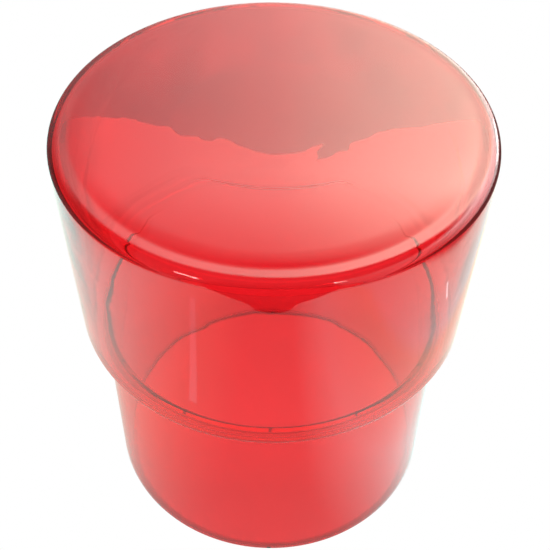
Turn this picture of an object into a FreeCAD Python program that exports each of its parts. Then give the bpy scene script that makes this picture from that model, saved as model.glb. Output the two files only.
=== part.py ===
"""Blown glass side table: one ruby glass shell, closed on top and open below, on eight clear bumper pads.

The shell is a stepped drum. A wide upper drum, which tapers a little towards its shoulder, steps in to a
straight lower drum whose cut rim is ground flat. The pads are glued to the rim, so that no
glass touches the floor. Millimetres, +Z up, origin on the floor at the centre of the table.
"""

import FreeCAD, Part
import math
import os
import Sketcher

NODE_FOLDER = "parts"
SHEET = "params"

# alias, value, meaning
DRIVING_DIMENSIONS = [
    ("total_height", 450.0, "floor to table top"),
    ("top_radius", 200.0, "outside of the upper drum at the table top"),
    ("shoulder_radius", 195.0, "outside of the upper drum at its shoulder"),
    ("base_radius", 176.0, "outside of the lower drum"),
    ("step_height", 231.0, "floor to the underside of the shoulder"),
    ("wall", 7.0, "glass thickness in the walls and the step"),
    ("top_wall", 7.0, "glass thickness near the edge of the table top"),
    ("corner_round", 10.0, "outside edge of the table top"),
    ("shoulder_round", 8.0, "outside edge of the shoulder"),
    ("crease_round", 6.0, "outside hollow where the step meets the lower drum"),
    ("inner_top_round", 5.0, "inside hollow under the edge of the table top"),
    ("inner_shoulder_round", 4.0, "inside hollow of the shoulder"),
    ("inner_crease_round", 12.0, "inside bend from the step down into the lower drum"),
    ("rim_round", 1.0, "softened edges of the cut rim"),
    ("swell_radius", 90.0, "reach of the thick middle that blowing leaves under the top"),
    ("swell_depth", 3.0, "how far that middle hangs below the inside of the top"),
    ("ring_inner", 166.0, "inner edge of the shallow ring hollow in the table top"),
    ("ring_outer", 189.0, "outer edge of that hollow"),
    ("ring_depth", 0.5, "depth of that hollow"),
    ("pad_radius", 2.5, "bumper pad"),
    ("pad_height", 2.0, "bumper pad, floor to rim"),
    ("pad_round", 0.4, "lower edge of a bumper pad"),
]

# One pad every 45 degrees, anticlockwise from the front (-Y) when seen from above.
PAD_PLACES = ["front", "front_right", "right", "back_right", "back", "back_left", "left", "front_left"]
FRONT_ANGLE = -90.0

EDGE_TOLERANCE = 0.01


def make_sheet(doc):
    """The driving dimensions, one per row: name, value with an alias, and meaning."""
    sheet = doc.addObject("Spreadsheet::Sheet", SHEET)
    for row, (alias, value, meaning) in enumerate(DRIVING_DIMENSIONS, start=1):
        sheet.set(f"A{row}", alias)
        sheet.set(f"B{row}", str(value))
        sheet.setAlias(f"B{row}", alias)
        sheet.set(f"C{row}", meaning)
    doc.recompute()
    return sheet


def formula(terms):
    """A cell name, or a sum such as "base_radius - wall", as an expression on the sheet."""
    return " ".join(f"{SHEET}.{word}" if word[0].isalpha() else word for word in terms.split())


def amount(sheet, terms):
    """The same sum as a number, to start a sketch near its final shape."""
    total, sign = 0.0, 1.0
    for word in terms.split():
        if word in "+-":
            sign = 1.0 if word == "+" else -1.0
        else:
            total += sign * sheet.get(word)
    return total


def origin_feature(body, role):
    """One of the body's own origin planes or axes, by its role."""
    return next(feature for feature in body.Origin.OriginFeatures if feature.Role == role)


def new_body(doc, label):
    body = doc.addObject("PartDesign::Body", label)
    body.Label = label
    return body


def new_sketch(body, name, role):
    sketch = body.newObject("Sketcher::SketchObject", name)
    sketch.AttachmentSupport = [(origin_feature(body, role), "")]
    sketch.MapMode = "FlatFace"
    return sketch


def dimension(sketch, kind, geometry, point, sheet, terms):
    """Ties one coordinate or radius to the sheet."""
    where = (geometry,) if point is None else (geometry, point)
    index = sketch.addConstraint(Sketcher.Constraint(kind, *where, amount(sheet, terms)))
    sketch.setExpression(f"Constraints[{index}]", formula(terms))


def place_point(sketch, sheet, geometry, point, across, up):
    """Fixes a point of the half section: across from the axis (None is on it) and up from the floor."""
    if across is None:
        sketch.addConstraint(Sketcher.Constraint("PointOnObject", geometry, point, -2))
    else:
        dimension(sketch, "DistanceX", geometry, point, sheet, across)
    dimension(sketch, "DistanceY", geometry, point, sheet, up)


def section_point(sheet, corner):
    across, up = corner
    return FreeCAD.Vector(amount(sheet, across) if across else 0.0, amount(sheet, up), 0.0)


def section_sketch(body, sheet, name, corners):
    """A closed outline of straight lines in the half section; corners are (across, up) sums on the sheet."""
    sketch = new_sketch(body, name, "XZ_Plane")
    points = [section_point(sheet, corner) for corner in corners]
    for start, end in zip(points, points[1:] + points[:1]):
        sketch.addGeometry(Part.LineSegment(start, end))
    for line, corner in enumerate(corners):
        following = (line + 1) % len(corners)
        sketch.addConstraint(Sketcher.Constraint("Coincident", line, 2, following, 1))
        place_point(sketch, sheet, line, 1, *corner)
    return sketch


def revolve(body, name, sketch):
    """Turns a half section once round the vertical axis and adds it to the body."""
    turned = body.newObject("PartDesign::Revolution", name)
    turned.Profile = sketch
    turned.ReferenceAxis = (sketch, ["V_Axis"])
    turned.Angle = 360
    body.Document.recompute()
    return turned


def cut_ring(body, name, sketch):
    """Turns a half section once round the vertical axis and takes it from the body."""
    hollow = body.newObject("PartDesign::Groove", name)
    hollow.Profile = sketch
    hollow.ReferenceAxis = (sketch, ["V_Axis"])
    hollow.Angle = 360
    body.Document.recompute()
    return hollow


def ring_edge(shape, radius, height):
    """The name of the circular edge of that radius at that height."""
    for number, edge in enumerate(shape.Edges, start=1):
        if edge.Degenerated or not isinstance(edge.Curve, Part.Circle):
            continue
        same_height = abs(edge.Curve.Center.z - height) < EDGE_TOLERANCE
        if same_height and abs(edge.Curve.Radius - radius) < EDGE_TOLERANCE:
            return f"Edge{number}"
    raise ValueError(f"no ring of radius {radius} at height {height}")


def round_ring(body, sheet, name, corners, radius):
    """Rounds the rings that the half section's corners made, all to one radius."""
    base = body.Tip
    names = [ring_edge(base.Shape, amount(sheet, across), amount(sheet, up)) for across, up in corners]
    rounded = body.newObject("PartDesign::Fillet", name)
    rounded.Base = (base, names)
    rounded.setExpression("Radius", formula(radius))
    body.Document.recompute()
    return rounded


def glass_shell(doc, sheet):
    """The blown shell: revolved half section, thick middle of the top, rounded corners and ring hollow."""
    body = new_body(doc, "glass_shell")
    top_corner = ("top_radius", "total_height")
    shoulder = ("shoulder_radius", "step_height")
    crease = ("base_radius", "step_height")
    rim_outside = ("base_radius", "pad_height")
    rim_inside = ("base_radius - wall", "pad_height")
    inner_crease = ("base_radius - wall", "step_height + wall")
    inner_shoulder = ("shoulder_radius - wall", "step_height + wall")
    inner_top_corner = ("top_radius - wall", "total_height - top_wall")
    outline = [
        (None, "total_height"),
        top_corner,
        shoulder,
        crease,
        rim_outside,
        rim_inside,
        inner_crease,
        inner_shoulder,
        inner_top_corner,
        (None, "total_height - top_wall"),
    ]
    revolve(body, "Drum", section_sketch(body, sheet, "DrumSection", outline))
    revolve(body, "TopMiddle", swell_sketch(body, sheet))
    round_ring(body, sheet, "TopCorner", [top_corner], "corner_round")
    round_ring(body, sheet, "Shoulder", [shoulder], "shoulder_round")
    round_ring(body, sheet, "Crease", [crease], "crease_round")
    round_ring(body, sheet, "InnerCrease", [inner_crease], "inner_crease_round")
    round_ring(body, sheet, "InnerShoulder", [inner_shoulder], "inner_shoulder_round")
    round_ring(body, sheet, "InnerTopCorner", [inner_top_corner], "inner_top_round")
    round_ring(body, sheet, "SoftRim", [rim_outside, rim_inside], "rim_round")
    cut_ring(body, "RingHollow", hollow_sketch(body, sheet))
    return body


def swell_sketch(body, sheet):
    """Half of the shallow lens under the top: two straight sides and an arc that is level on the axis."""
    sketch = new_sketch(body, "MiddleSection", "XZ_Plane")
    edge = section_point(sheet, ("swell_radius", "total_height - top_wall"))
    level = section_point(sheet, (None, "total_height - top_wall"))
    lowest = section_point(sheet, (None, "total_height - top_wall - swell_depth"))
    reach, depth = edge.x, level.y - lowest.y
    sphere_radius = (reach**2 + depth**2) / (2 * depth)
    centre = FreeCAD.Vector(0.0, lowest.y + sphere_radius, 0.0)
    start_angle = -math.pi / 2
    end_angle = start_angle + math.asin(reach / sphere_radius)
    circle = Part.Circle(centre, FreeCAD.Vector(0, 0, 1), sphere_radius)
    across_line = sketch.addGeometry(Part.LineSegment(level, edge))
    arc = sketch.addGeometry(Part.ArcOfCircle(circle, start_angle, end_angle))
    axis_line = sketch.addGeometry(Part.LineSegment(lowest, level))
    sketch.addConstraint(Sketcher.Constraint("Coincident", across_line, 2, arc, 2))
    sketch.addConstraint(Sketcher.Constraint("Coincident", arc, 1, axis_line, 1))
    sketch.addConstraint(Sketcher.Constraint("Coincident", axis_line, 2, across_line, 1))
    sketch.addConstraint(Sketcher.Constraint("PointOnObject", arc, 3, -2))
    place_point(sketch, sheet, across_line, 1, None, "total_height - top_wall")
    place_point(sketch, sheet, across_line, 2, "swell_radius", "total_height - top_wall")
    place_point(sketch, sheet, axis_line, 1, None, "total_height - top_wall - swell_depth")
    return sketch


def hollow_sketch(body, sheet):
    """The section of the ring hollow: a chord level with the table top and the shallow arc under it."""
    sketch = new_sketch(body, "HollowSection", "XZ_Plane")
    inner = section_point(sheet, ("ring_inner", "total_height"))
    outer = section_point(sheet, ("ring_outer", "total_height"))
    reach, depth = (outer.x - inner.x) / 2, sheet.get("ring_depth")
    arc_radius = (reach**2 + depth**2) / (2 * depth)
    centre = FreeCAD.Vector(inner.x + reach, inner.y - depth + arc_radius, 0.0)
    swing = math.asin(reach / arc_radius)
    circle = Part.Circle(centre, FreeCAD.Vector(0, 0, 1), arc_radius)
    chord = sketch.addGeometry(Part.LineSegment(inner, outer))
    arc = sketch.addGeometry(Part.ArcOfCircle(circle, -math.pi / 2 - swing, -math.pi / 2 + swing))
    sketch.addConstraint(Sketcher.Constraint("Coincident", chord, 1, arc, 1))
    sketch.addConstraint(Sketcher.Constraint("Coincident", chord, 2, arc, 2))
    place_point(sketch, sheet, chord, 1, "ring_inner", "total_height")
    place_point(sketch, sheet, chord, 2, "ring_outer", "total_height")
    radius = sketch.addConstraint(Sketcher.Constraint("Radius", arc, arc_radius))
    width = f"({formula('ring_outer')} - {formula('ring_inner')})"
    ring_depth = formula("ring_depth")
    sketch.setExpression(f"Constraints[{radius}]", f"({width}^2 / 4 + {ring_depth}^2) / (2 * {ring_depth})")
    return sketch


def bumper_pad(doc, sheet, place, angle):
    """A clear pad under the middle of the rim's flat, with its lower edge rounded."""
    body = new_body(doc, f"rim_pad_{place}")
    sketch = new_sketch(body, f"PadCircle_{place}", "XY_Plane")
    circle = Part.Circle(FreeCAD.Vector(0, 0, 0), FreeCAD.Vector(0, 0, 1), amount(sheet, "pad_radius"))
    geometry = sketch.addGeometry(circle)
    sketch.addConstraint(Sketcher.Constraint("Coincident", geometry, 3, -1, 1))
    dimension(sketch, "Radius", geometry, None, sheet, "pad_radius")
    pad = body.newObject("PartDesign::Pad", f"PadBlock_{place}")
    pad.Profile = sketch
    pad.setExpression("Length", formula("pad_height"))
    doc.recompute()
    rounded = body.newObject("PartDesign::Fillet", f"PadEdge_{place}")
    rounded.Base = (pad, [ring_edge(pad.Shape, amount(sheet, "pad_radius"), 0.0)])
    rounded.setExpression("Radius", formula("pad_round"))
    rim_middle = f"({formula('base_radius')} - {formula('wall')} / 2)"
    body.setExpression("Placement.Base.x", f"{rim_middle} * cos({angle} deg)")
    body.setExpression("Placement.Base.y", f"{rim_middle} * sin({angle} deg)")
    return body


def check(doc, nodes):
    """Stops if anything failed to compute, or if a node isn't one valid solid."""
    for item in doc.Objects:
        if "Invalid" in item.State or "Error" in item.State:
            raise RuntimeError(f"{item.Label} failed: {item.State}")
    for node in nodes:
        shape = node.Shape
        if shape.isNull() or not shape.isValid() or len(shape.Solids) != 1:
            raise RuntimeError(f"{node.Label} is not one valid solid")


def main():
    doc = FreeCAD.newDocument("glass_side_table")
    sheet = make_sheet(doc)
    nodes = [glass_shell(doc, sheet)]
    spacing = 360.0 / len(PAD_PLACES)
    for number, place in enumerate(PAD_PLACES):
        nodes.append(bumper_pad(doc, sheet, place, FRONT_ANGLE + number * spacing))
    doc.recompute()
    check(doc, nodes)
    os.makedirs(NODE_FOLDER, exist_ok=True)
    for node in nodes:
        node.Shape.exportStep(os.path.join(NODE_FOLDER, f"{node.Label}.step"))
        print(f"{node.Label}: {node.Shape.Volume / 1000:.2f} cm3")


main()
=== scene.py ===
"""Looks of the blown glass side table: one ruby glass shell on eight clear bumper pads, in a white studio.

The shell is turned from its half section in mesh code, with the unevenness that blowing leaves, and stands
for the CAD shell. Its colour comes from absorption in the glass, so thick places are deeper red. Metres, +Z
up, origin on the floor under the middle of the table. The front, where the camera stands, is -Y.
"""

import math

import bmesh
import bpy
from mathutils import Matrix, Vector, noise


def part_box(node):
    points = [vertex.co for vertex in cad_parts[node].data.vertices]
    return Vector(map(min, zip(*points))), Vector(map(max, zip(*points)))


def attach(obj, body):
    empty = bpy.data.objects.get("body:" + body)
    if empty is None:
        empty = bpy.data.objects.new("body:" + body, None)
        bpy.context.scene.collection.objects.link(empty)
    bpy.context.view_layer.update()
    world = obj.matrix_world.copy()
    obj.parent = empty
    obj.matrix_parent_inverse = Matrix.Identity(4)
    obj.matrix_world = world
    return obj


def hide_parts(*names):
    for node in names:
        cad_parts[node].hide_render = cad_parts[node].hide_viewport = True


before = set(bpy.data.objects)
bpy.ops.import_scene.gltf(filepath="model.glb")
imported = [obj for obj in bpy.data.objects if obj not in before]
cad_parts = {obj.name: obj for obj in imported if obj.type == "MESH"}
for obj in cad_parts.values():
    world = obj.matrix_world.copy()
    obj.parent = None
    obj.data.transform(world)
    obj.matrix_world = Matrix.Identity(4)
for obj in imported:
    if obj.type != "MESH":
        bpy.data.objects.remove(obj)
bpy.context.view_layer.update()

MM = 0.001

# The shell's driving dimensions: its top and rim from the frame, the others as in the CAD shell.
SHELL_LOW, SHELL_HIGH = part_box("glass_shell")
TOP = SHELL_HIGH.z
RIM = SHELL_LOW.z
TOP_RADIUS = 200 * MM
SHOULDER_RADIUS = 195 * MM
BASE_RADIUS = 176 * MM
STEP_HEIGHT = 231 * MM
WALL = 7 * MM
TOP_WALL = 7 * MM
CORNER_ROUND = 10 * MM
SHOULDER_ROUND = 8 * MM
CREASE_ROUND = 6 * MM
RIM_ROUND = 1 * MM
INNER_TOP_ROUND = 5 * MM
INNER_SHOULDER_ROUND = 4 * MM
INNER_CREASE_ROUND = 12 * MM

# The thick middle of the top, and a faint ripple on it.
SWELL_RADIUS = 90 * MM
SWELL_DEPTH = 3 * MM
RIPPLE_AT = 54 * MM
RIPPLE_WIDTH = 7 * MM
RIPPLE_DEPTH = 0.08 * MM

# The shallow ring hollow near the edge of the table top: (radius, slope), and how deep it is all round.
RING_SLOPES = ((162 * MM, 0.0), (178 * MM, -0.057), (183 * MM, 0.07), (188 * MM, 0.07), (190 * MM, 0.0))
RING_MEAN = 0.5
RING_FULL_AT = math.radians(-85)

# How far the blown surfaces wander, and over what distance. They are calm in front, below CALM_TOP, and all
# round the rim, up to CALM_RIM.
UNEVEN_INSIDE = 0.2 * MM
UNEVEN_OUTSIDE = 0.04 * MM
UNEVEN_WAVE = 45 * MM
CALM_TOP = 275 * MM
CALM_FRONT = -60 * MM
CALM_FADE = 80 * MM
CALM_RIM = 3 * MM

# The mesh: vertices round the axis, and distances between the points of the half section, which are closer
# in the top from RING_START out. ON_AXIS and LEVEL are tolerances.
SEGMENTS = 400
LONG_STEP = 10 * MM
SWELL_STEP = 5 * MM
RING_STEP = 1.5 * MM
RING_START = 158 * MM
ARC_STEP = 1 * MM
ARC_LEAST = 4
ON_AXIS = 0.001 * MM
LEVEL = 0.1 * MM

# Glass: absorption per metre in red, green and blue, fine bumps on the inside, and the ground rim.
GLASS_INDEX = 1.5
ABSORB = (1.5, 260.0, 235.0)
BUMP_FINE = 0.04 * MM
BUMP_SCALE = 70.0
RIM_ROUGH = 0.5
RIM_GROUND = 0.3 * MM

# Bumper pads: scuffed clear plastic.
PAD_COLOUR = (0.95, 0.95, 0.95, 1)
PAD_CLEAR = 0.9
PAD_SCUFFS = 900.0
PAD_ROUGH = 0.45

WHITE = (1, 1, 1, 1)
BLACK = (0, 0, 0, 1)

# In every row of stops below, a stop is (place, tone), and a tone is a grey value or a colour.

# The studio in the glass's mirror, by azimuth from +Y towards +X and by elevation, both in degrees.
WINDOW_AZ = ((-180, 0.0), (-60, 0.1), (-17, 0.9), (-8, (1.9, 1.9, 1.8)), (0, (3.2, 3.1, 2.8)),
             (17, (8.2, 8.0, 6.5)), (24, (10.0, 9.8, 9.0)), (60, 7.0), (100, 1.5), (180, 0.0))
WINDOW_EL = ((-90, 0.0), (0, 0.5), (20, 0.8), (33, 0.88), (38, 1.0), (41, 1.15), (46, 0.4), (52, 0.0),
             (90, 0.0))
MIRROR_REST = 0.08

# The studio seen through the glass, by elevation in degrees, and the even light on the paper.
SEEN_THROUGH = ((-90, 0.9), (8, 0.9), (20, 0.12), (90, 0.12))
AMBIENT = 0.6

# The paper floor: painted light and shade across it, by distance to either side, in metres.
FLOOR_HALF = 6.0
FLOOR_REACH = 1.0
FLOOR_PAINTED_LIGHT = ((0.0, 0.85), (0.2, 0.82), (0.28, 0.92), (0.32, 0.7), (0.38, 0.35), (0.42, 0.35), (0.48, 0.75),
               (1.0, 0.75))

# The shade round the rim by radius, at the back and in front, and the red light that gathers inside the rim.
RIM_REACH = 0.25
RIM_SHADE_FAR = ((0.0, 1.0), (0.168, 1.0), (0.171, 0.6), (0.179, 0.6), (0.182, 0.88), (0.22, 0.95),
                 (0.24, 1.0))
RIM_SHADE_NEAR = ((0.0, 0.8), (0.162, 0.8), (0.1645, 0.28), (0.175, 0.3), (0.178, 1.0))
NEAR_FADE = 0.1
GATHERED_RED = (0.18, 0.0054, 0.0072)
GATHERED = ((0.0, GATHERED_RED), (0.168, GATHERED_RED), (0.171, 0.0))

# The floor for light that met more surfaces of the glass than DEEP_RAY, from front to back.
DEEP_RAY = 7.0
DEEP_GLOW = ((-1.0, 1.7), (-0.1, 1.7), (0.05, 0.25), (1.0, 0.25))

# The floor in the glass's mirror, from left to right.
FLOOR_MIRRORED = ((-1.0, 0.2), (-0.64, 0.2), (-0.57, (0.8, 1.5, 1.4)), (-0.5, (0.65, 1.65, 1.55)),
                  (-0.43, (1.15, 1.45, 1.35)), (-0.25, (1.0, 0.9, 0.78)), (-0.1, (0.65, 0.6, 0.58)),
                  (0.08, (0.65, 0.6, 0.58)), (0.2, (1.05, 1.5, 1.45)), (0.36, (1.45, 1.3, 1.05)),
                  (0.395, (1.25, 1.45, 1.4)), (0.53, (1.25, 1.45, 1.3)), (0.58, 0.15), (1.0, 0.15))

# The wall behind the table, light grey and in painted shade: (x, y) along its foot, its painted shade by
# height, and its cloudy patches.
BACK_FOOT = ((-3.0, 0.58), (-0.3, 0.569), (-0.23, 0.565), (-0.19, 0.554), (-0.13, 0.551), (-0.09, 0.543),
             (-0.045, 0.53), (0.0, 0.517), (0.05, 0.53), (0.095, 0.53), (0.14, 0.546), (0.19, 0.553),
             (0.235, 0.56), (0.3, 0.57), (3.0, 0.596))
BACK_LOW = 0.001
BACK_HIGH = 3.0
BACK_REACH = 1.0
BACK_PAINTED_SHADE = ((0.0, 0.46), (0.08, 0.46), (0.13, 0.54), (0.4, 0.56))
CLOUD_SCALE = 9.0
CLOUD_DETAIL = 2.0
CLOUD_RANGE = (0.25, 0.75)
CLOUD_DEPTH = 0.18

# The dark shape of whoever stands in front, for the glass's mirror: (x, y) round the black sheet that paints
# their shade on the floor, and its upright part.
SHADE_FLOOR = ((-0.07, -0.53), (0.07, -0.53), (0.14, -0.545), (0.25, -0.562), (0.3, -1.1), (-0.3, -1.1),
               (-0.25, -0.562), (-0.14, -0.545))
SHADE_LIFT = 0.002
SHADE_STAND_HALF = 0.25
SHADE_STAND_Y = -0.545
SHADE_STAND_HIGH = 1.5

# Small bright things round the table: name, brightness and corners.
GLINTS = (
    ("glint_edge", 12.0, ((1.93, 2.3, 0.7), (2.49, 1.68, 0.7), (2.49, 1.68, 1.35), (1.93, 2.3, 1.35))),
    ("glint_left", 1.3, ((-0.202, -0.31, 0.003), (-0.222, -0.296, 0.003), (-0.315, -0.434, 0.003),
                         (-0.295, -0.448, 0.003))),
    ("glint_right", 3.2, ((0.44, 0.004, 0.003), (0.44, 0.014, 0.003), (0.475, 0.004, 0.003),
                          (0.475, -0.006, 0.003))),
)

# Lamps: name, place, what it is aimed at, size and radiance.
LAMPS = (
    ("lamp_left", (-0.95, -1.15, 1.5), (0, 0, 0.3), (0.34, 0.22), 14.0),
    ("lamp_right", (0.72, -1.45, 1.55), (0, 0, 0.3), (0.42, 0.2), 14.0),
)
KEY = ("key", (0.0, 0.5, 1.7), (0, 0, 0), (1.6, 1.2), 2.0)

# Camera: place in metres, angles in radians, lens and sensor in millimetres.
CAMERA_PLACE = (0.0, -0.6925, 0.98995)
CAMERA_PITCH = 0.818
CAMERA_YAW = -0.0038
CAMERA_ROLL = -0.0163
LENS = 64.39876
SENSOR = 36.0
NEAREST = 0.01

BOUNCES = 160


def arc_points(before, corner, after, radius):
    """Points of the round that replaces a corner between two straight stretches."""
    to_before = (before - corner).normalized()
    to_after = (after - corner).normalized()
    half = math.acos(max(-1.0, min(1.0, to_before.dot(to_after)))) / 2
    centre = corner + (to_before + to_after).normalized() * (radius / math.sin(half))
    start = corner + to_before * (radius / math.tan(half))
    end = corner + to_after * (radius / math.tan(half))
    swing = math.pi - 2 * half
    count = max(ARC_LEAST, round(radius * swing / ARC_STEP))
    points = []
    for i in range(count + 1):
        share = i / count
        start_share = math.sin((1 - share) * swing) / math.sin(swing)
        end_share = math.sin(share * swing) / math.sin(swing)
        points.append(centre + (start - centre) * start_share + (end - centre) * end_share)
    return points


def rounded_path(corners):
    """A path through (across, up, round, step) corners; step cuts up the straight stretch before each."""
    spots = [Vector((across, up)) for across, up, _, _ in corners]
    path = [spots[0]]
    for i in range(1, len(corners)):
        _, _, radius, step = corners[i]
        fresh = arc_points(spots[i - 1], spots[i], spots[i + 1], radius) if radius else [spots[i]]
        run = fresh[0] - path[-1]
        pieces = max(1, round(run.length / step))
        path += [path[-1] + run * (k / pieces) for k in range(1, pieces)]
        path += fresh
    return path


def half_section():
    """The shell's half section, from the middle of the top down the outside, and back up the inside."""
    step_inside = STEP_HEIGHT + WALL
    corners = [
        (0.0, TOP, 0.0, LONG_STEP),
        (RING_START, TOP, 0.0, LONG_STEP),
        (TOP_RADIUS, TOP, CORNER_ROUND, RING_STEP),
        (SHOULDER_RADIUS, STEP_HEIGHT, SHOULDER_ROUND, LONG_STEP),
        (BASE_RADIUS, STEP_HEIGHT, CREASE_ROUND, LONG_STEP),
        (BASE_RADIUS, RIM, RIM_ROUND, LONG_STEP),
        (BASE_RADIUS - WALL, RIM, RIM_ROUND, LONG_STEP),
        (BASE_RADIUS - WALL, step_inside, INNER_CREASE_ROUND, LONG_STEP),
        (SHOULDER_RADIUS - WALL, step_inside, INNER_SHOULDER_ROUND, LONG_STEP),
        (TOP_RADIUS - WALL, TOP - TOP_WALL, INNER_TOP_ROUND, LONG_STEP),
        (0.0, TOP - TOP_WALL, 0.0, SWELL_STEP),
    ]
    return rounded_path(corners)


def swell(radius):
    """How far the inside of the top hangs down: the thick middle and one faint ripple on it."""
    if radius > SWELL_RADIUS:
        return 0.0
    middle = SWELL_DEPTH * (1 - (radius / SWELL_RADIUS) ** 2)
    ripple = RIPPLE_DEPTH * math.exp(-(((radius - RIPPLE_AT) / RIPPLE_WIDTH) ** 2))
    return middle + ripple


def shaped(path):
    """Adds the swell to the underside of the table top."""
    for point in path:
        if abs(point.y - (TOP - TOP_WALL)) < LEVEL:
            point.y -= swell(point.x)
    return path


def outward(path):
    """The outward direction of the half section at each of its points."""
    directions = []
    for before, after in zip(path[:1] + path[:-1], path[1:] + path[-1:]):
        along = (after - before).normalized()
        directions.append(Vector((-along.y, along.x)))
    return directions


def ring_hollow(radius):
    """How deep the shallow ring in the table top is at a radius: its slopes added up from its inner edge."""
    height = 0.0
    for (near, slope), (far, next_slope) in zip(RING_SLOPES, RING_SLOPES[1:]):
        if radius <= near:
            break
        reach = min(radius, far)
        slope_there = slope + (next_slope - slope) * (reach - near) / (far - near)
        height += (slope + slope_there) / 2 * (reach - near)
    return max(0.0, -height)


def ring_share(angle):
    """The ring is full at the front and fades out at the back."""
    return RING_MEAN + (1 - RING_MEAN) * math.cos(angle - RING_FULL_AT)


def unevenness(place, inside):
    """The slight wander that blowing leaves in a surface; the outside only ever moves inward."""
    wander = noise.noise(place / UNEVEN_WAVE)
    return UNEVEN_INSIDE * wander if inside else -UNEVEN_OUTSIDE * (1 + wander) / 2


def liveliness(place):
    """How much of the unevenness a place has: none in front, from the rim to above the step."""
    from_step = (place.z - CALM_TOP) / CALM_FADE
    from_front = (place.y - CALM_FRONT) / CALM_FADE
    return min(1.0, max(0.0, from_step, from_front))


def turned(point, angle):
    """A point or a direction of the half section, turned round the axis."""
    return Vector((point.x * math.cos(angle), point.x * math.sin(angle), point.y))


def blown(point, away, angle, inside):
    """Where blowing left a point of the half section, and how lively the glass is there."""
    place = turned(point, angle)
    lively = liveliness(place)
    if point.y >= RIM + CALM_RIM:
        place += turned(away, angle) * unevenness(place, inside) * lively
    if point.y > TOP - LEVEL:
        place.z -= ring_hollow(point.x) * ring_share(angle)
    return place, lively


def turned_rings(build, path):
    """The half section's points as rings of vertices, marked where the glass is bumpy and where ground."""
    bumpy_mark = build.verts.layers.float.new("bumpy")
    ground_mark = build.verts.layers.float.new("ground")
    lowest = min(range(len(path)), key=lambda i: (path[i].y, path[i].x))
    rings = []
    for number, (point, away) in enumerate(zip(path, outward(path))):
        inside = number > lowest
        ring = []
        for i in range(1 if point.x < ON_AXIS else SEGMENTS):
            place, lively = blown(point, away, 2 * math.pi * i / SEGMENTS, inside)
            vertex = build.verts.new(place)
            vertex[bumpy_mark] = lively if inside else 0.0
            vertex[ground_mark] = 1.0 if point.y < RIM + RIM_GROUND else 0.0
            ring.append(vertex)
        rings.append(ring)
    return rings


def join_rings(build, rings):
    """Faces between neighbouring rings; a ring of one vertex closes the surface on the axis."""
    for upper, lower in zip(rings, rings[1:]):
        for i in range(SEGMENTS):
            j = (i + 1) % SEGMENTS
            if len(upper) == 1:
                build.faces.new((upper[0], lower[i], lower[j]))
            elif len(lower) == 1:
                build.faces.new((upper[i], lower[0], upper[j]))
            else:
                build.faces.new((upper[i], lower[i], lower[j], upper[j]))
    bmesh.ops.recalc_face_normals(build, faces=build.faces)
    for face in build.faces:
        face.smooth = True


def make_shell():
    """The blown shell, one closed mesh that stands for the CAD shell."""
    build = bmesh.new()
    join_rings(build, turned_rings(build, shaped(half_section())))
    mesh = bpy.data.meshes.new("glass_shell_blown")
    build.to_mesh(mesh)
    build.free()
    mesh.materials.append(ruby_glass())
    shell = add_object("glass_shell_blown", mesh)
    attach(shell, "root")
    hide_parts("glass_shell")


def dress_pads():
    """Gives the CAD pads, whose shape is right, their material."""
    material = clear_pad()
    for name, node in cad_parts.items():
        if name.startswith("rim_pad"):
            node.data.materials.clear()
            node.data.materials.append(material)


def add_object(name, data):
    """A new object in the scene that holds a mesh, a lamp or a camera."""
    thing = bpy.data.objects.new(name, data)
    bpy.context.scene.collection.objects.link(thing)
    return thing


def feed(tree, source, socket):
    """Links an output to a socket, or sets the socket to a plain value."""
    if isinstance(source, bpy.types.NodeSocket):
        tree.links.new(source, socket)
    else:
        socket.default_value = source


def add_node(tree, kind, inputs=None, **settings):
    """The outputs of a new shader node; inputs gives sockets, by name or number, their source or value."""
    node = tree.nodes.new("ShaderNode" + kind)
    for name, value in settings.items():
        setattr(node, name, value)
    for key, source in (inputs or {}).items():
        feed(tree, source, node.inputs[key])
    return node.outputs


def calculate(tree, operation, *sources):
    return add_node(tree, "Math", dict(enumerate(sources)), operation=operation)["Value"]


def calculate_vector(tree, operation, *sources):
    outputs = add_node(tree, "VectorMath", dict(enumerate(sources)), operation=operation)
    return outputs["Value" if operation == "LENGTH" else "Vector"]


def grey(value):
    return (value, value, value)


def ramp(tree, source, low, high, stops):
    """A colour set by straight runs between (place, tone) stops along source, which goes from low to high."""
    share = add_node(tree, "MapRange", {"From Min": low, "From Max": high, "Value": source})["Result"]
    colours = tree.nodes.new("ShaderNodeValToRGB")
    elements = colours.color_ramp.elements
    while len(elements) < len(stops):
        elements.new(1.0)
    for element, (place, tone) in zip(elements, stops):
        element.position = (place - low) / (high - low)
        element.color = (*(tone if isinstance(tone, tuple) else grey(tone)), 1)
    feed(tree, share, colours.inputs["Fac"])
    return colours.outputs["Color"]


def glow(tree, colour):
    return add_node(tree, "Emission", {"Color": colour})["Emission"]


def mix_shaders(tree, share, first, second):
    """The first shader where share is 0, the second where it is 1."""
    return add_node(tree, "MixShader", {0: share, 1: first, 2: second})["Shader"]


def mirror_ray(tree, rays):
    """1 for a ray that a glass surface has just mirrored, 0 for any other."""
    return calculate(tree, "MULTIPLY", rays["Is Reflection Ray"], rays["Is Glossy Ray"])


def new_material(name):
    """A new material and its node tree, which holds a Principled shader."""
    material = bpy.data.materials.new(name)
    material.use_nodes = True
    return material, material.node_tree


def stage_material(name, make_surface):
    """A material with only the shader that make_surface adds to its node tree."""
    material, tree = new_material(name)
    tree.nodes.remove(tree.nodes["Principled BSDF"])
    feed(tree, make_surface(tree), tree.nodes["Material Output"].inputs["Surface"])
    return material


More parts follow.
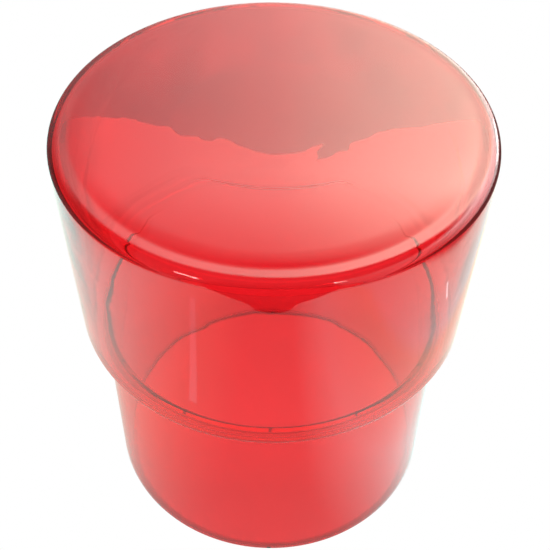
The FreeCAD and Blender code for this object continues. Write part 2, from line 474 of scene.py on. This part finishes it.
def ruby_glass():
    """Smooth glass, finely bumpy inside and ground at the rim, whose red comes only from absorption."""
    material, tree = new_material("ruby_glass")
    shader = tree.nodes["Principled BSDF"]
    shader.inputs["Base Color"].default_value = WHITE
    shader.inputs["IOR"].default_value = GLASS_INDEX
    shader.inputs["Transmission Weight"].default_value = 1.0
    ground = add_node(tree, "Attribute", attribute_name="ground")["Fac"]
    feed(tree, calculate(tree, "MULTIPLY", ground, RIM_ROUGH), shader.inputs["Roughness"])
    bumpy = add_node(tree, "Attribute", attribute_name="bumpy")["Fac"]
    place = add_node(tree, "TexCoord")["Object"]
    waves = add_node(tree, "TexNoise", {"Scale": BUMP_SCALE, "Detail": 0.0, "Vector": place})["Fac"]
    bump = add_node(tree, "Bump", {"Distance": BUMP_FINE, "Strength": bumpy, "Height": waves})
    feed(tree, bump["Normal"], shader.inputs["Normal"])
    strongest = max(ABSORB)
    passed = (*[1 - part / strongest for part in ABSORB], 1)
    absorption = add_node(tree, "VolumeAbsorption", {"Color": passed, "Density": strongest})
    feed(tree, absorption["Volume"], tree.nodes["Material Output"].inputs["Volume"])
    return material


def clear_pad():
    """Clear plastic whose scuffs make it unevenly rough."""
    material, tree = new_material("clear_pad")
    shader = tree.nodes["Principled BSDF"]
    shader.inputs["Base Color"].default_value = PAD_COLOUR
    shader.inputs["Transmission Weight"].default_value = PAD_CLEAR
    place = add_node(tree, "TexCoord")["Object"]
    scuffs = add_node(tree, "TexNoise", {"Scale": PAD_SCUFFS, "Vector": place})["Fac"]
    feed(tree, calculate(tree, "MULTIPLY", scuffs, PAD_ROUGH), shader.inputs["Roughness"])
    return material


def lit_paper(tree, place, from_middle):
    """The floor in ordinary light: paper with painted light and shade across it, painted shade round the rim,
    and a painted glow of red light inside it.
    """
    # Painted light and shade across the paper, by distance to either side.
    paper = ramp(tree, calculate(tree, "ABSOLUTE", place["X"]), 0.0, FLOOR_REACH, FLOOR_PAINTED_LIGHT)
    shade_far = ramp(tree, from_middle, 0.0, RIM_REACH, RIM_SHADE_FAR)
    shade_near = ramp(tree, from_middle, 0.0, RIM_REACH, RIM_SHADE_NEAR)
    near = ramp(tree, place["Y"], -NEAR_FADE, 0.0, ((-NEAR_FADE, 1.0), (0.0, 0.0)))
    shade = add_node(tree, "MixRGB", {"Fac": near, "Color1": shade_far, "Color2": shade_near})["Color"]
    shaded = calculate_vector(tree, "MULTIPLY", paper, shade)
    matt = add_node(tree, "BsdfDiffuse", {"Color": shaded})["BSDF"]
    # Painted glow of red light on the floor inside the rim, where the glass gathers light.
    gathered = glow(tree, ramp(tree, from_middle, 0.0, RIM_REACH, GATHERED))
    return add_node(tree, "AddShader", {0: matt, 1: gathered})["Shader"]


def floor_surface(tree):
    """White to the camera, and for the glass what each kind of ray should find."""
    place = add_node(tree, "TexCoord")["Object"]
    split = add_node(tree, "SeparateXYZ", {0: place})
    rays = add_node(tree, "LightPath")
    paper = lit_paper(tree, split, calculate_vector(tree, "LENGTH", place))
    mirrored = glow(tree, ramp(tree, split["X"], -FLOOR_REACH, FLOOR_REACH, FLOOR_MIRRORED))
    guided = glow(tree, ramp(tree, split["Y"], -FLOOR_REACH, FLOOR_REACH, DEEP_GLOW))
    deep = calculate(tree, "GREATER_THAN", rays["Ray Depth"], DEEP_RAY)
    surface = mix_shaders(tree, deep, paper, guided)
    surface = mix_shaders(tree, mirror_ray(tree, rays), surface, mirrored)
    return mix_shaders(tree, rays["Is Camera Ray"], surface, glow(tree, WHITE))


def make_floor():
    mesh = bpy.data.meshes.new("floor")
    low, high = -FLOOR_HALF, FLOOR_HALF
    mesh.from_pydata([(low, low, 0), (high, low, 0), (high, high, 0), (low, high, 0)], [], [(0, 1, 2, 3)])
    mesh.materials.append(stage_material("floor", floor_surface))
    add_object("floor", mesh)


def make_world():
    """A broad window for what the glass mirrors, a pale low sky seen through it, and an even glow on paper."""
    world = bpy.data.worlds.new("studio")
    bpy.context.scene.world = world
    world.use_nodes = True
    tree = world.node_tree
    direction = add_node(tree, "SeparateXYZ", {0: add_node(tree, "TexCoord")["Generated"]})
    azimuth = calculate(tree, "DEGREES", calculate(tree, "ARCTAN2", direction["X"], direction["Y"]))
    elevation = calculate(tree, "DEGREES", calculate(tree, "ARCSINE", direction["Z"]))
    along = ramp(tree, azimuth, -180, 180, WINDOW_AZ)
    up = ramp(tree, elevation, -90, 90, WINDOW_EL)
    window = calculate_vector(tree, "MULTIPLY", along, up)
    sky = calculate_vector(tree, "ADD", window, grey(MIRROR_REST))
    mirrored = add_node(tree, "Background", {"Color": sky})["Background"]
    seen = ramp(tree, elevation, -90, 90, SEEN_THROUGH)
    through = add_node(tree, "Background", {"Color": seen})["Background"]
    even = tree.nodes["Background"]
    even.inputs["Color"].default_value = WHITE
    even.inputs["Strength"].default_value = AMBIENT
    rays = add_node(tree, "LightPath")
    rest = mix_shaders(tree, rays["Diffuse Depth"], through, even.outputs["Background"])
    surface = mix_shaders(tree, mirror_ray(tree, rays), rest, mirrored)
    feed(tree, surface, tree.nodes["World Output"].inputs["Surface"])


def make_card(name, corners, faces, tone):
    """A card that only the glass mirrors or shows; tone makes its colour from its node tree."""
    mesh = bpy.data.meshes.new(name)
    mesh.from_pydata(corners, [], faces)
    mesh.materials.append(stage_material(name, lambda tree: glow(tree, tone(tree))))
    card = add_object(name, mesh)
    card.visible_camera = False
    card.visible_diffuse = False
    card.visible_shadow = False
    return card


def back_painted_shade(tree):
    """The back wall's painted shade by height, lighter higher up, with soft cloudy patches."""
    place = add_node(tree, "TexCoord")["Object"]
    height = add_node(tree, "SeparateXYZ", {0: place})["Z"]
    tone = ramp(tree, height, 0.0, BACK_REACH, BACK_PAINTED_SHADE)
    look = {"Scale": CLOUD_SCALE, "Detail": CLOUD_DETAIL, "Vector": place}
    clouds = add_node(tree, "TexNoise", look)["Fac"]
    low, high = CLOUD_RANGE
    limits = {"From Min": low, "From Max": high, "To Min": 1 - CLOUD_DEPTH, "To Max": 1 + CLOUD_DEPTH}
    spread = add_node(tree, "MapRange", {**limits, "Value": clouds})["Result"]
    return calculate_vector(tree, "MULTIPLY", tone, spread)


def make_back():
    """The back wall, a light grey wall in painted shade, which stands nearest behind the middle of the table.
    """
    foot = [(x, y, BACK_LOW) for x, y in BACK_FOOT]
    head = [(x, y, BACK_HIGH) for x, y in BACK_FOOT]
    count = len(foot)
    faces = [(i, i + 1, count + i + 1, count + i) for i in range(count - 1)]
    make_card("back", foot + head, faces, back_painted_shade).visible_glossy = False


def make_shade():
    """Whoever stands before the table: a black sheet on the floor that paints their shade, and a black shape
    up from it.
    """
    flat = [(x, y, SHADE_LIFT) for x, y in SHADE_FLOOR]
    side, y, high = SHADE_STAND_HALF, SHADE_STAND_Y, SHADE_STAND_HIGH
    stand = [(-side, y, 0.0), (side, y, 0.0), (side, y, high), (-side, y, high)]
    for name, corners in (("shade_floor", flat), ("shade_stand", stand)):
        card = make_card(name, corners, [tuple(range(len(corners)))], lambda tree: BLACK)
        card.visible_transmission = False


def even_tone(tree, value):
    source = tree.nodes.new("ShaderNodeValue")
    source.outputs["Value"].default_value = value
    return source.outputs["Value"]


def make_glints():
    """Small bright things around the table that only show as glints mirrored in the glass."""
    for name, bright, corners in GLINTS:
        card = make_card(name, corners, [(0, 1, 2, 3)], lambda tree, bright=bright: even_tone(tree, bright))
        card.visible_transmission = False


def make_lamp(name, place, target, size, radiance):
    """A rectangular lamp of even radiance, aimed at a point."""
    data = bpy.data.lights.new(name, "AREA")
    data.shape = "RECTANGLE"
    data.size, data.size_y = size
    data.energy = radiance * math.pi * size[0] * size[1]
    lamp = add_object(name, data)
    lamp.location = place
    lamp.rotation_mode = "QUATERNION"
    lamp.rotation_quaternion = (Vector(target) - Vector(place)).to_track_quat("-Z", "Y")
    return lamp


def make_lamps():
    """Two small lamps that the top's edge mirrors, and a broad one above that the glass doesn't mirror."""
    for lamp in LAMPS:
        make_lamp(*lamp)
    make_lamp(*KEY).visible_glossy = False


def make_camera():
    """The camera, above the front of the table and looking down on it."""
    pan = Matrix.Rotation(CAMERA_YAW, 3, "Z")
    tilt = Matrix.Rotation(-CAMERA_PITCH, 3, "X")
    turn = pan @ tilt @ Matrix.Rotation(CAMERA_ROLL, 3, "Y")
    right = turn @ Vector((1, 0, 0))
    forward = turn @ Vector((0, 1, 0))
    up = turn @ Vector((0, 0, 1))
    data = bpy.data.cameras.new("camera")
    data.sensor_width = SENSOR
    data.lens = LENS
    data.clip_start = NEAREST
    camera = add_object("camera", data)
    place = Matrix((right, up, -forward)).transposed().to_4x4()
    place.translation = Vector(CAMERA_PLACE)
    camera.matrix_world = place
    bpy.context.scene.camera = camera


def set_light_paths(scene):
    """Lets light bounce often enough inside the glass, and shows colours as they are."""
    scene.view_settings.view_transform = "Standard"
    scene.cycles.max_bounces = BOUNCES
    scene.cycles.transmission_bounces = BOUNCES
    scene.cycles.glossy_bounces = BOUNCES
    scene.cycles.blur_glossy = 0.0


make_shell()
dress_pads()
make_floor()
make_world()
make_back()
make_shade()
make_glints()
make_lamps()
make_camera()
set_light_paths(bpy.context.scene)
